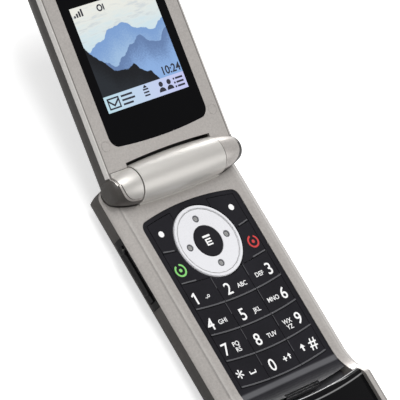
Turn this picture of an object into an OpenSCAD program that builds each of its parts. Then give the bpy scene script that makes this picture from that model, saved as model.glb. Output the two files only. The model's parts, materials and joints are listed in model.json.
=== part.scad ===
// Clamshell mobile telephone: a keypad half with a raised chin, a display half, and the hinge between
// them. X runs to the right, +Y to the hinge, +Z up. The keypad half lies on its flat back, and the
// origin is on that back, at the middle of the keypad half. The display half is drawn fully open.

/* [Keypad half] */
// Width across the sides
base_w = 46; // [45:0.5:49]
// Length from chin end to hinge end
base_l = 93.5; // [90:0.5:98]
// Thickness from the back to the silver face
base_t = 9.2; // [9:0.1:10]
// Radius of the long lower edges
base_edge_r = 5.25; // [4.5:0.25:6]
// Width of the bevel outside each crease of the silver face
bevel_w = 3; // [2.5:0.1:3.75]
// Height of the bevel outside the creases
bevel_h = 2.15; // [1.6:0.05:2.4]
// Wall thickness of the housings
wall = 1.3; // [1.1:0.1:1.5]
// Radius of the housing's corners at the hinge end
hinge_corner_r = 3.5; // [2.5:0.25:5]
// Radius of the lower edge at the hinge end
hinge_foot_r = 6.5; // [3:0.25:6.75]

/* [Chin] */
// Rise of the chin above the silver face
chin_h = 4.6; // [4:0.1:5]
// Radius of the concave ramp up to the chin
ramp_r = 11.5; // [10.5:0.5:12.5]
// Distance from the hinge axis to the start of the ramp
ramp_from_hinge = 58.3; // [57.8:0.1:59.2]
// Radius of the chin's front edge
chin_nose_r = 2.5; // [2:0.25:3]
// Width of the silver rim beside the chin cover
rim_w = 2.7; // [2.2:0.1:3.2]
// Radius of the chin's corners, seen from above
chin_corner_r = 10; // [8:0.5:12]
// Width of the microphone bar
mic_bar_w = 12; // [9:0.5:14]

/* [Hinge] */
// Distance from the hinge axis to the end of the keypad half
hinge_inset = 2.75; // [2:0.05:3]
// Height of the hinge axis above the silver face
hinge_rise = 1.7; // [1.6:0.05:1.9]
// Radius of the hinge barrel at its ends
barrel_r = 5; // [4.8:0.05:5.1]
// How much fuller the barrel is at its middle
barrel_crown = 0.5; // [0.3:0.1:0.6]
// Length of the hinge barrel
barrel_l = 28.8; // [27:0.2:30]
// Radius of the bore through the barrel
barrel_bore_r = 3.6; // [3.4:0.1:3.8]
// How far each knuckle's end stays inside the side of the keypad half
knuckle_side = 0.1; // [0.1:0.05:0.7]
// Rounding of the knuckles' outer ends
knuckle_round = 2; // [1.5:0.1:3]
// Angle from closed to fully open
open_angle = 165.5; // [155:0.5:170]
// Radius of the shaft that turns the cam
shaft_r = 1.6; // [1.4:0.1:1.8]

/* [Display half] */
// How far each side of the display half stays inside that of the keypad half
lid_side = 0.75; // [0.5:0.05:1.25]
// Distance from the hinge axis to the tip
lid_l = 64.5; // [62:0.5:65]
// Thickness of the display half
lid_t = 6.7; // [6.5:0.1:7.2]
// Width of the sloping strip beside its flat silver face
lid_edge_w = 0.95; // [0.75:0.05:1.5]
// Height of the silver strip along its edge
lid_strip_h = 0.76; // [0.6:0.02:0.9]
// Radius of its long outer edges
lid_edge_r = 4.5; // [3.5:0.25:5]
// Gap between the two halves when closed
closed_gap = 0.3; // [0.25:0.05:0.4]
// Width of the silver on each side of the black window
lens_side = 5.3; // [5:0.1:5.75]
// Distance from the hinge axis to the window's near edge
lens_from_hinge = 9.4; // [9:0.1:10]
// Length of the window
lens_l = 44; // [42:0.5:45]
// Thickness of the window
lens_t = 0.9; // [0.7:0.05:1]
// Side of the square picture area
screen_w = 28; // [26:0.5:29]
// Distance from the hinge axis to the middle of the picture
screen_from_hinge = 32.7; // [32:0.1:33.5]

/* [Keys] */
// Distance from the hinge axis to the middle of the navigation key
nav_from_hinge = 20.07; // [19.6:0.01:20.2]
// Depth of the black keypad below the silver face
panel_drop = 0.2; // [0.15:0.05:0.25]
// Width of the flat silver on each side of the black keypad
panel_side = 3; // [2.7:0.1:3.2]
// Width of the black on each side of the three columns of keys
keys_side = 1.7; // [1.5:0.1:2]
// Width of the middle column of keys
mid_key_w = 11.1; // [10:0.1:12]
// Distance from one row of keys to the next
row_pitch = 7.5; // [7.4:0.05:7.55]
// Radius of the arc that each row follows
row_arc_r = 105; // [95:5:130]
// Gap around each key
key_gap = 0.16; // [0.14:0.01:0.2]
// Thickness of the key tops
key_t = 1.3; // [1.2:0.05:1.35]
// Travel of each key
key_travel = 0.3; // [0.25:0.05:0.3]
// Height of the ridge along each key's lower edge
ridge_h = 0.2; // [0.15:0.05:0.25]
// Radius of the navigation ring
nav_r = 10.1; // [9.9:0.05:10.2]
// Radius of the select key
select_r = 4.25; // [4:0.05:4.5]

/* [Inside] */
// Length of the battery
battery_l = 46; // [42:0.5:46]
// Thickness of the battery
battery_t = 3.7; // [3.4:0.1:3.8]
// Width of the back on each side of the battery cover
cover_side = 5; // [4.5:0.25:5]
// Thickness of the battery cover
cover_t = 1; // [0.9:0.1:1.1]
// Thickness of the circuit boards
board_t = 0.8; // [0.6:0.1:0.9]
// Radius of the headset jack's hole
jack_r = 1.35; // [1.3:0.01:1.4]

/* [Hidden] */
$fn = 64;
silver = [0.70, 0.69, 0.67];
satin_silver = [0.82, 0.81, 0.79];
dark_grey = [0.22, 0.21, 0.20];
keypad_black = [0.10, 0.10, 0.12];
gloss_black = [0.04, 0.04, 0.05];
fit = 0.05;                       // between pieces of one body that stay put
slip = 0.1;                       // round pieces that are pressed or slid in
far = 200;                        // longer than anything here
sweep_fn = 360;                   // segments of the long shallow arcs

// Widths, all taken from that of the keypad half
face_w = base_w - 2 * bevel_w;    // flat silver face between its two creases
panel_w = face_w - 2 * panel_side;
keys_w = panel_w - 2 * keys_side;
cover_w = base_w - 2 * cover_side;
battery_w = cover_w - 2;
hinge_w = base_w - 2 * knuckle_side;
lid_w = base_w - 2 * lid_side;
lid_face_w = lid_w - 2 * lid_edge_w;
lens_w = lid_w - 2 * lens_side;

// Heights in the keypad half, from its back
face_z = base_t;
panel_z = face_z - panel_drop;
split_z = face_z - bevel_h;
hinge_y = base_l / 2 - hinge_inset;
hinge_z = face_z + hinge_rise;
nav_y = hinge_y - nav_from_hinge;
ramp_y = hinge_y - ramp_from_hinge;
ramp_z = face_z + ramp_r;
chin_z = face_z + chin_h;
chin_end_y = -base_l / 2;
nose_y = ramp_y - sqrt(pow(ramp_r + chin_nose_r, 2) - pow(ramp_r - chin_h + chin_nose_r, 2));
nose_z = chin_z - chin_nose_r;
cover_end_y = hinge_y - 25;       // hinge end of the battery cover
battery_z = cover_t + slip;
bay_top_z = battery_z + battery_t + slip;
floor_z = bay_top_z + 0.6;        // floor of the electronics room
board_z = floor_z + fit;
board_top_z = board_z + board_t;
dome_h = 0.35;
dome_z = board_top_z + fit;
web_t = 0.4;
key_bottom_z = panel_z - key_t;
plunger_z = dome_z + dome_h + key_travel + fit;
web_z = key_bottom_z - key_travel - fit - web_t;
battery_y = cover_end_y - 4 - battery_l / 2;
slot_y = nose_y + 1.4;            // front of the chin cover, at its middle
bezel_end_y = slot_y + 2.1;       // lower edge of the black ramp, at its middle
slot_arc_r = 115;                 // both edges follow this arc
slot_floor_t = 0.6;
mic_bar_z = key_bottom_z + slot_floor_t;
mic_bar_l = 1.7;
mic_bar_h = 2.6;
mic_y = bezel_end_y;
screw_x = battery_w / 2 - 1.4;
chin_room = slot_y - chin_end_y;  // length of the chin that its inside pieces share

// Heights in the display half, from the hinge axis, +Z out of the inner face when open
lid_tilt = 180 - open_angle;
lid_face = hinge_rise - closed_gap;
lid_split = lid_face - lid_strip_h;
lid_back = lid_face - lid_t;
lens_floor = lid_face - lens_t;
lid_inner_z = lens_floor - 0.6;   // underside of the silver plate
display_t = 1.8;
display_z = lid_inner_z - fit - display_t;
lid_board_t = 0.6;
lid_board_z = display_z - fit - lid_board_t;
barrel_gap = 0.9;                 // slot between barrel and display half
seam = 0.3;                       // between barrel end and knuckle
knuckle_in = barrel_l / 2 + seam;
knuckle_out = hinge_w / 2;
knuckle_turn_x = knuckle_out - 6;
knuckle_r = barrel_r - 0.1;       // radius of a knuckle beside the barrel
knuckle_bow_r = 24;               // each knuckle thins outwards along this arc
knuckle_bow_x = barrel_l / 2 - 1.4; // where the arc is fullest
heel_s = 4.5;                     // the display half's underside slopes up to the hinge from here
heel_z = -3;
knuckle_line_z = 1.1;             // silver edge on a knuckle's front, above the hinge axis
knuckle_turn_r = 4.6;             // where it turns up towards the knuckle's end
cap_seam_s = 4.6;                 // seam between the left cap and the silver face
seam_line = 0.12;

// ---------------------------------------------------------------- shared shapes

// Points of an arc from angle a0 to a1; first = 1 leaves out a start that the point before already is
function arc_points(cx, cy, r, a0, a1, n, first = 0) =
    [for (i = [first:n]) let (a = a0 + (a1 - a0) * i / n) [cx + r * cos(a), cy + r * sin(a)]];

module along_x(length) {
    rotate([90, 0, 90]) translate([0, 0, -length / 2]) linear_extrude(length) children();
}

module along_y(length) {
    rotate([90, 0, 0]) translate([0, 0, -length / 2]) linear_extrude(length) children();
}

module rounded_rect(w, l, r) {
    square([w - 2 * r, l], center = true);
    square([w, l - 2 * r], center = true);
    for (x = [-1, 1], y = [-1, 1])
        translate([x * (w / 2 - r), y * (l / 2 - r)]) circle(r = r);
}

// An outline round at its far end and squarer near the hinge, running from y = 0 to y = length
module tongue_outline(w, length, near_r, far_r, bow_r) {
    intersection() {
        union() {
            translate([-w / 2 + near_r, 0]) square([w - 2 * near_r, length]);
            translate([-w / 2, near_r]) square([w, length - near_r - far_r]);
            for (x = [-1, 1]) {
                translate([x * (w / 2 - near_r), near_r]) circle(r = near_r);
                translate([x * (w / 2 - far_r), length - far_r]) circle(r = far_r);
            }
        }
        translate([0, length - bow_r]) circle(r = bow_r, $fn = sweep_fn);
    }
}

// Round bar on the hinge axis, fuller at its middle, from -half to +half
module crowned_bar(r_end, crown, half, grow = 0) {
    bow_r = (half * half + crown * crown) / (2 * crown);
    rotate([0, 90, 0]) rotate_extrude($fn = 96) intersection() {
        translate([0, -half]) square([r_end + crown + grow, 2 * half]);
        translate([r_end + crown + grow - bow_r, 0]) circle(r = bow_r, $fn = 720);
    }
}

module bar(r, x0, x1) {
    translate([x0, 0, 0]) rotate([0, 90, 0]) cylinder(r = r, h = x1 - x0);
}

// One knuckle from x0 outwards along +X: it thins along a long arc, and its end is round
module knuckle_bar(x0, grow = 0) {
    bow_c = knuckle_r - knuckle_bow_r;
    end_x = knuckle_out - knuckle_round - knuckle_bow_x;
    end_c = bow_c + sqrt(pow(knuckle_bow_r - knuckle_round, 2) - end_x * end_x);
    turn = asin(end_x / (knuckle_bow_r - knuckle_round));
    start = asin((x0 - knuckle_bow_x) / (knuckle_bow_r + grow));
    rotate([0, 90, 0]) rotate_extrude($fn = 96) polygon(concat(
        [[0, x0]],
        arc_points(bow_c, knuckle_bow_x, knuckle_bow_r + grow, start, turn, 8),
        arc_points(end_c, knuckle_out - knuckle_round, knuckle_round + grow, turn, 90, 7, 1),
        [[0, knuckle_out + grow]]));
}

module at_hinge() { translate([0, hinge_y, hinge_z]) children(); }

module in_lid() { at_hinge() rotate([lid_tilt, 0, 0]) children(); }

// ---------------------------------------------------------------- keypad half, outside

module base_outline(inset = 0) {
    translate([0, base_l / 2 - inset]) mirror([0, 1])
        tongue_outline(base_w - 2 * inset, base_l - 2 * inset, hinge_corner_r - inset,
                       chin_corner_r - inset, 70 - inset);
}

// Cross-section seen along Y: round lower edges, upright sides, steep sides up to the chin
module base_section(inset = 0) {
    half = base_w / 2 - inset;
    r = base_edge_r - inset;
    lean = 1.6;                   // how far the sides lean in at the top of the chin
    translate([-half, inset + r]) square([2 * half, split_z - inset - r]);
    translate([-half + r, inset]) square([2 * half - 2 * r, r]);
    for (x = [-1, 1])
        translate([x * (half - r), inset + r]) circle(r = r);
    polygon([[-half, split_z], [half, split_z], [half - lean, chin_z - 1], [half - lean - 1, chin_z],
             [-half + lean + 1, chin_z], [-half + lean, chin_z - 1]]);
}

// Profile seen along X: flat face, concave ramp, round nose, and a chin top that falls to its end
module base_profile(inset = 0) {
    low = inset;
    top = chin_z - inset;
    end = base_l / 2 - inset;
    foot_r = 3.5;
    head_r = 5;
    ramp_turn = atan2(nose_z - ramp_z, nose_y - ramp_y);
    polygon(concat(
        arc_points(end - hinge_foot_r, low + hinge_foot_r, hinge_foot_r, -90, 0, 8),
        [[end, face_z - inset]],
        arc_points(ramp_y, ramp_z - inset, ramp_r, -90, ramp_turn, 14),
        arc_points(nose_y, nose_z - inset, chin_nose_r, ramp_turn + 180, 90, 6, 1),
        arc_points(-end + head_r, top - head_r, head_r, 90, 180, 8),
        arc_points(-end + foot_r, low + foot_r, foot_r, 180, 270, 6)));
}

// What the bevel takes off both long edges, straight beside the keypad and turned round the ramp
module bevel_cut() {
    crease = face_w / 2;
    slope = bevel_h / (base_w / 2 - crease);
    out = base_w / 2 + 3;
    drop = slope * (out - crease);
    bite = 0.02;                  // keeps the turned cut from only grazing the straight one
    for (side = [0, 1]) mirror([side, 0, 0]) {
        translate([0, ramp_y + far / 2, 0]) along_y(far)
            polygon([[crease, face_z], [out, face_z - drop], [out, face_z + 1], [crease, face_z + 1]]);
        translate([0, ramp_y, ramp_z]) rotate([0, 90, 0]) rotate_extrude($fn = sweep_fn)
            polygon([[0, crease], [ramp_r + bite, crease], [ramp_r + bite + drop, out], [0, out]]);
    }
}

module base_solid() {
    difference() {
        intersection() {
            linear_extrude(chin_z + 1) base_outline();
            along_y(far) base_section();
            along_x(far) base_profile();
        }
        bevel_cut();
    }
}

// Room that both knuckles and the barrel need
module hinge_scoop() {
    at_hinge() {
        for (side = [0, 1]) mirror([side, 0, 0]) knuckle_bar(barrel_l / 2 + slip, seam);
        crowned_bar(barrel_r, barrel_crown, barrel_l / 2 + 2 * slip, fit);
    }
    // under the display half when it is fully open
    start_s = 1;
    under_z = lid_back - seam;
    in_lid() along_x(lid_w + 2 * seam) polygon([
        [start_s, heel_z - seam + (lid_back - heel_z) * start_s / heel_s], [heel_s, under_z],
        [2 * heel_s, under_z], [2 * heel_s, barrel_r], [start_s, barrel_r]]);
}

module above(z) { translate([-far / 2, -far / 2, z]) cube([far, far, far]); }

module below(z) { translate([-far / 2, -far / 2, z - far]) cube([far, far, far]); }

// The two screws at the chin end are under the battery cover
module screw_spots() {
    for (x = [-1, 1]) {
        translate([x * screw_x, hinge_y - 8.4, 0.1]) children();
        translate([x * screw_x, (battery_y - battery_l / 2 + chin_end_y) / 2, cover_t + 0.15]) children();
    }
}

module panel_outline(grow = 0) {
    top_y = nav_y + 11.9 + grow;
    bow_r = 80;
    translate([0, top_y]) mirror([0, 1]) intersection() {
        rounded_top(panel_w + 2 * grow, top_y - slot_y + 1.5, 2.5, bow_r);
        translate([0, bow_r]) circle(r = bow_r, $fn = sweep_fn);
    }
}

// Everything on the hinge side of an arc across the phone that passes through y at its middle
module beyond_arc(y) {
    translate([0, y + slot_arc_r]) circle(r = slot_arc_r, $fn = sweep_fn);
}

// Rectangle from y = 0 to y = length with round corners at y = 0, lowered to meet a top bowed to bow_r
module rounded_top(w, length, r, bow_r) {
    drop = bow_r - sqrt(pow(bow_r - r, 2) - pow(w / 2 - r, 2)) - r - 0.05;
    translate([-w / 2 + r, 0]) square([w - 2 * r, length]);
    translate([-w / 2, drop + r]) square([w, length - drop - r]);
    for (x = [-1, 1])
        translate([x * (w / 2 - r), drop + r]) circle(r = r);
}

// Outline of the black chin cover inside its silver rim, with a front edge that sags at its middle
module chin_outline(grow = 0) {
    w = base_w - 3.2 - 2 * rim_w + 2 * grow;
    front_y = slot_y + 2;
    back_y = chin_end_y + rim_w + 0.6 - grow;
    difference() {
        translate([0, front_y]) mirror([0, 1]) tongue_outline(w, front_y - back_y, 1, 7.5, 60);
        beyond_arc(slot_y + grow);
    }
}

module front_frame() {
    room = wall + slip + 0.9;
    color(silver) difference() {
        base_solid();
        below(split_z);
        // room under the face, and under the chin cover
        translate([0, 0, split_z - 1]) linear_extrude(face_z - wall - split_z + 1) intersection() {
            base_outline(room);
            translate([-far / 2, chin_end_y]) square([far, hinge_y - barrel_r - wall - chin_end_y]);
        }
        translate([0, 0, split_z - 1]) linear_extrude(far) panel_outline(fit);
        translate([0, 0, split_z - 1]) linear_extrude(far) chin_outline(fit);
        hinge_scoop();
    }
}

module rear_shell() {
    color(dark_grey) difference() {
        intersection() {
            base_solid();
            below(split_z);
        }
        // room for the electronics
        intersection() {
            linear_extrude(far) base_outline(wall);
            along_y(far) base_section(wall);
            above(floor_z);
        }
        // room in the chin
        intersection() {
            linear_extrude(far) base_outline(wall + 0.6);
            along_y(far) base_section(wall);
            above(cover_t + 1);
            translate([-far / 2, chin_end_y + wall, 0]) cube([far, battery_y - battery_l / 2 - 2 - chin_end_y - wall, far]);
        }
        // room for the sockets on the right
        translate([8, cover_end_y + 2, wall]) cube([base_w / 2 - wall - 9.3, 13, far]);
        translate([can_x, can_y, can_z] - slip * [1, 1, 1]) cube([can_w + 2 * slip, can_l + 2 * slip, far]);
        translate([card_x, card_y, bay_top_z - 1] - slip * [1, 1, 0]) cube([card_w + 2 * slip, card_l + 2 * slip, far]);
        cover_recess();
        battery_bay();
        side_key_cut();
        socket_cuts();
        screw_spots() translate([0, 0, -1]) cylinder(r = screw_head_r + slip, h = 1 + screw_head_h + fit);
        screw_spots() cylinder(r = screw_r + fit, h = far);
        hinge_scoop();
    }
}

module cover_recess() {
    translate([-cover_w / 2 - slip, chin_end_y - 1, -1])
        cube([cover_w + 2 * slip, cover_end_y + slip - chin_end_y + 1, cover_t + slip / 2 + 1]);
}

module battery_bay() {
    translate([-battery_w / 2 - slip, battery_y - battery_l / 2 - slip, -1])
        cube([battery_w + 2 * slip, battery_l + 2 * slip + 2.5, bay_top_z + 1]);
}

module battery_cover() {
    color(dark_grey) {
        intersection() {
            base_solid();
            translate([-cover_w / 2, chin_end_y - 1, -1])
                cube([cover_w, cover_end_y - chin_end_y + 1, cover_t + 1]);
        }
    }
}

module chin_cover() {
    crown_r = 160;
    color(gloss_black) difference() {
        intersection() {
            translate([0, 0, split_z]) linear_extrude(far) chin_outline();
            along_x(far) base_profile(fit);
            translate([0, 0, chin_z - crown_r]) along_y(far) circle(r = crown_r, $fn = 720);
        }
        translate([0, 0, -1]) linear_extrude(chin_z - wall + 1) intersection() {
            chin_outline(-wall);
            translate([-far / 2, nose_y - 1.5 - far]) square([far, far]);
        }
    }
}

module mic_bar() {
    groove = 0.15;
    color(gloss_black) difference() {
        translate([-mic_bar_w / 2, bezel_end_y - 0.8, mic_bar_z]) cube([mic_bar_w, mic_bar_l, mic_bar_h]);
        for (k = [1, 2])
            translate([-mic_bar_w, bezel_end_y - 0.8 + mic_bar_l * k / 3, mic_bar_z + mic_bar_h - 0.3])
                cube([2 * mic_bar_w, groove, 1]);
    }
}

// ---------------------------------------------------------------- keypad

function row_y(k) = nav_y - 9.1 - k * row_pitch;
ring_gap_r = nav_r + 0.3;
side_key_x = keys_w / 2 - 2.5;    // middle of the keys beside the ring

// Everything on the hinge side of row line k, whose arc sags at the middle
module above_row(k, shift = 0) {
    translate([0, row_y(k) + shift + row_arc_r]) circle(r = row_arc_r, $fn = 720);
}

// Column c of the keys: -1 left, 0 middle, 1 right
module column(c, gap = 0) {
    x0 = c == 0 ? -mid_key_w / 2 : (c < 0 ? -keys_w / 2 : mid_key_w / 2);
    x1 = c == 0 ? mid_key_w / 2 : (c < 0 ? -mid_key_w / 2 : keys_w / 2);
    translate([x0 + gap / 2, nav_y - 60]) square([x1 - x0 - gap, 80]);
}

module key_outline(c, k) {
    difference() {
        intersection() {
            column(c, key_gap);
            above_row(k, key_gap / 2);
        }
        above_row(k - 1, -key_gap / 2);
        translate([0, nav_y]) circle(r = ring_gap_r, $fn = 128);
    }
}

module key_body(plunger_x, plunger_y) {
    translate([0, 0, key_bottom_z]) linear_extrude(key_t) children();
    translate([plunger_x, plunger_y, plunger_z]) cylinder(r = 1.1, h = key_bottom_z - plunger_z + 0.1);
}

// One key of the number block, with the ridge on its lower edge and the short rib beside it
module number_key(c, k) {
    mid_x = c * (keys_w + mid_key_w) / 4;
    ridge_w = 0.4;
    rib_w = 0.25;
    rib_l = 3.3;
    color(keypad_black) {
        key_body(mid_x, row_y(k) + row_pitch / 2) key_outline(c, k);
        translate([0, 0, panel_z - 0.1]) linear_extrude(ridge_h + 0.1) difference() {
            key_outline(c, k);
            above_row(k, key_gap / 2 + ridge_w);
        }
        if (c != 0) translate([0, 0, panel_z - 0.1]) linear_extrude(ridge_h * 0.6 + 0.1)
            intersection() {
                key_outline(c, k);
                translate([c * (mid_key_w / 2 + key_gap / 2 + rib_w / 2), nav_y - 30])
                    square([rib_w, 60], center = true);
                difference() {
                    above_row(k - 1, -rib_l);
                    above_row(k - 1, -key_gap / 2);
                }
            }
    }
}

// Call and end keys, beside the navigation ring
module side_key(c) {
    outer = keys_w / 2 - key_gap / 2;
    color(keypad_black) key_body(c * side_key_x, nav_y - 4.5) difference() {
        intersection() {
            translate([c > 0 ? 3 : -outer, nav_y - 12]) square([outer - 3, 14]);
            translate([0, row_y(0) + key_gap / 2 + row_arc_r]) circle(r = row_arc_r, $fn = 720);
        }
        translate([0, nav_y - 0.1 - key_gap / 2 + row_arc_r]) circle(r = row_arc_r, $fn = 720);
        translate([0, nav_y]) circle(r = ring_gap_r, $fn = 128);
    }
}

// Soft keys, in the panel's upper corners
module soft_key(c) {
    outer = keys_w / 2 - key_gap / 2;
    inner = 6.6;
    bow_r = 80;
    color(keypad_black) key_body(c * (side_key_x - 0.3), nav_y + 6) difference() {
        intersection() {
            translate([c > 0 ? inner : -outer, nav_y - 0.5]) square([outer - inner, 12]);
            translate([0, nav_y - 0.1 + key_gap / 2 + row_arc_r]) circle(r = row_arc_r, $fn = 720);
            translate([0, nav_y + 10.6 - bow_r]) circle(r = bow_r, $fn = sweep_fn);
        }
        translate([0, nav_y]) circle(r = ring_gap_r, $fn = 128);
    }
}

// Opening in the bezel that all keys share
module key_window() {
    bow_r = 80;
    difference() {
        intersection() {
            translate([-keys_w / 2 - key_gap / 2, nav_y - 45]) square([keys_w + key_gap, 60]);
            above_row(4, -key_gap / 2);
            translate([0, nav_y + 10.6 + key_gap - bow_r]) circle(r = bow_r, $fn = sweep_fn);
        }
        translate([-6.6 + key_gap, nav_y]) square([13.2 - 2 * key_gap, 20]);
    }
    translate([0, nav_y]) circle(r = ring_gap_r, $fn = 128);
}

module keypad_bezel() {
    color(keypad_black) difference() {
        union() {
            intersection() {
                translate([0, 0, key_bottom_z]) linear_extrude(far) intersection() {
                    panel_outline();
                    beyond_arc(bezel_end_y);
                }
                along_x(far) base_profile(panel_drop);
            }
            // floor of the slot in front of the chin cover
            translate([0, 0, key_bottom_z]) linear_extrude(slot_floor_t) intersection() {
                panel_outline();
                beyond_arc(slot_y + fit);
            }
        }
        linear_extrude(far) key_window();
        translate([-mic_bar_w / 2 - fit, slot_y, mic_bar_z - fit])
            cube([mic_bar_w + 2 * fit, bezel_end_y - 0.8 + mic_bar_l + fit - slot_y, far]);
        // hollow under the ramp
        intersection() {
            translate([0, 0, -wall]) along_x(panel_w - 2 * wall) base_profile(panel_drop);
            translate([-far / 2, bezel_end_y + 2.5, key_bottom_z - 1])
                cube([far, ramp_y - 1.5 - bezel_end_y - 2.5, far]);
        }
        translate([0, mic_y, -1]) cylinder(r = 0.5, h = mic_bar_z + 1);
    }
}

module pad_spots() {
    for (k = [1:4], c = [-1:1])
        translate([c * (keys_w + mid_key_w) / 4, row_y(k) + row_pitch / 2]) children();
    for (c = [-1, 1]) {
        translate([c * side_key_x, nav_y - 4.5]) children();
        translate([c * (side_key_x - 0.3), nav_y + 6]) children();
    }
}

module key_web() {
    color("dimgray") difference() {
        translate([0, 0, web_z]) linear_extrude(web_t) translate([0, (nav_y + 11 + row_y(4)) / 2])
            rounded_rect(keys_w + 1.6, nav_y + 11 - row_y(4), 2);
        translate([0, 0, web_z - 1]) linear_extrude(web_t + 2) {
            pad_spots() circle(r = 1.1 + 0.2);
            translate([0, nav_y]) circle(r = ring_gap_r - 0.6);
        }
    }
}

module dome_sheet() {
    color("gainsboro") {
        translate([0, 0, dome_z]) linear_extrude(0.1) translate([0, (nav_y + 11 + row_y(4)) / 2])
            rounded_rect(keys_w + 1, nav_y + 10 - row_y(4), 1);
        translate([0, 0, dome_z + 0.05]) linear_extrude(dome_h - 0.05) {
            pad_spots() circle(r = 2);
            translate([0, nav_y]) circle(r = 1.6);
            translate([0, nav_y]) nav_spots() circle(r = 1.6);
        }
    }
}

// The four directions of the navigation ring, from its middle
module nav_spots() {
    for (a = [0:90:270]) translate([6.5 * cos(a), 6.5 * sin(a)]) children();
}

// Plate that rocks with the ring about X, with room above it for the ring to rock about Y
module nav_actuator() {
    plate_t = 0.3;
    rock_room = 0.2;
    color("dimgray") translate([0, nav_y, 0]) difference() {
        union() {
            translate([0, 0, key_bottom_z - rock_room - plate_t]) cylinder(r = nav_r - 1.2, h = plate_t);
            nav_spots() translate([0, 0, plunger_z])
                cylinder(r = 1, h = key_bottom_z - rock_room - 0.1 - plunger_z);
        }
        translate([0, 0, -1]) cylinder(r = select_r + 0.4, h = far);
    }
}

module nav_ring() {
    rim_h = 0.2;
    dot_r = 1;
    color([0.88, 0.88, 0.90]) translate([0, nav_y, 0]) difference() {
        union() {
            translate([0, 0, key_bottom_z]) cylinder(r = nav_r, h = key_t, $fn = 128);
            translate([0, 0, panel_z - 0.1]) cylinder(r = nav_r - 0.15, h = rim_h + 0.1, $fn = 128);
        }
        translate([0, 0, -1]) cylinder(r = select_r + 0.2, h = far, $fn = 96);
        translate([0, 0, panel_z]) cylinder(r = nav_r - 0.8, h = far, $fn = 128);
        nav_spots() translate([0, 0, panel_z - 0.12]) cylinder(r = dot_r, h = 1);
    }
}

module select_key() {
    color(keypad_black) translate([0, nav_y, 0]) {
        translate([0, 0, key_bottom_z - 0.4]) cylinder(r = select_r, h = key_t + 0.4, $fn = 96);
        translate([0, 0, plunger_z]) cylinder(r = 1.1, h = key_bottom_z - plunger_z);
    }
}

// ---------------------------------------------------------------- keypad half, sides and inside

side_key_y = nav_y - 0.55;
side_key_l = 19.9;
side_key_h = 3.15;
side_key_z = split_z - fit - side_key_h / 2;
trim_depth = 1.9;
rocker_l = 16;
rocker_h = 1.7;

module side_key_cut() {
    translate([-base_w / 2 - 1, side_key_y - side_key_l / 2 - fit, side_key_z - side_key_h / 2 - fit])
        cube([1 + trim_depth + fit, side_key_l + 2 * fit, side_key_h + 2 * fit]);
}

module side_trim() {
    x0 = -base_w / 2;
    color(gloss_black) difference() {
        intersection() {
            translate([x0 - 1, side_key_y - side_key_l / 2, side_key_z - side_key_h / 2])
                cube([1 + trim_depth, side_key_l, side_key_h]);
            translate([-0.15, 0, 0]) along_y(far) base_section();
        }
        translate([x0 - 2, side_key_y - rocker_l / 2 - key_gap, side_key_z - rocker_h / 2 - key_gap])
            cube([2 + 1.3, rocker_l + 2 * key_gap, rocker_h + 2 * key_gap]);
    }
}

module volume_rocker() {
    x0 = -base_w / 2;
    proud = 0.55;
    nub_r = 0.5;
    color(gloss_black) {
        translate([x0 - proud, side_key_y - rocker_l / 2, side_key_z - rocker_h / 2])
            cube([proud + 0.6, rocker_l, rocker_h]);
        for (y = [-1, 1]) translate([x0 - proud + 0.25, side_key_y + y * (rocker_l / 2 - 2), side_key_z])
            cylinder(r = nub_r, h = rocker_h, center = true);
        translate([x0 + 0.5, side_key_y - 0.6, side_key_z - rocker_h / 2]) cube([0.7, 1.2, rocker_h]);
    }
}

usb_y = cover_end_y + 6.6;
usb_w = 7.7;
usb_h = 3.5;
usb_z = board_z - 0.1 - usb_h / 2;
jack_y = cover_end_y + 12.8;
jack_body_r = 1.9;
jack_z = board_z - 0.15 - jack_body_r;
socket_x1 = base_w / 2 - 1.6;
socket_x0 = socket_x1 - 9.4;

module socket_cuts() {
    translate([socket_x0 - slip, usb_y - usb_w / 2 - slip, usb_z - usb_h / 2 - slip])
        cube([far, usb_w + 2 * slip, usb_h + 2 * slip]);
    translate([socket_x0 - slip, jack_y, jack_z]) rotate([0, 90, 0]) cylinder(r = jack_body_r + slip, h = far);
}

module usb_port() {
    t = 0.35;
    color("silver") difference() {
        translate([socket_x0, usb_y - usb_w / 2, usb_z - usb_h / 2]) cube([socket_x1 - socket_x0, usb_w, usb_h]);
        translate([socket_x0 + t, usb_y - usb_w / 2 + t, usb_z - usb_h / 2 + t])
            cube([far, usb_w - 2 * t, usb_h - 2 * t]);
    }
    color("dimgray") translate([socket_x0 + t - 0.01, usb_y - usb_w / 4, usb_z - 0.3])
        cube([5.5, usb_w / 2, 0.6]);
}

module headset_jack() {
    color(gloss_black) translate([0, jack_y, jack_z]) difference() {
        bar(jack_body_r, socket_x0, socket_x1);
        bar(jack_r, socket_x0 + 1, socket_x1 + 1);
    }
}

module main_board() {
    color([0.05, 0.35, 0.2]) difference() {
        intersection() {
            translate([0, 0, board_z]) linear_extrude(board_t) base_outline(wall + 1.5);
            translate([-far / 2, ramp_y - 18, 0]) cube([far, hinge_y - 6.5 - ramp_y + 18, far]);
            along_y(far) base_section(wall + fit);
        }
        translate([-base_w / 2, side_key_y - side_key_l / 2 - 1, 0]) cube([trim_depth + 1, side_key_l + 2, far]);
        screw_spots() cylinder(r = 1.2, h = far);
    }
}

can_x = -battery_w / 2 + 3.5;
can_y = cover_end_y + 2.7;
can_z = bay_top_z - 2.6;
can_w = battery_w - 14;
can_l = 13;
card_x = 2.5;
card_y = battery_y - 4;
card_w = 12.5;
card_l = 15;
card_h = 0.6;

module shield_can() {
    t = 0.2;
    color("lightgray") translate([can_x, can_y, can_z]) difference() {
        cube([can_w, can_l, board_z - fit - can_z]);
        translate([t, t, t]) cube([can_w - 2 * t, can_l - 2 * t, far]);
    }
}

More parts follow.
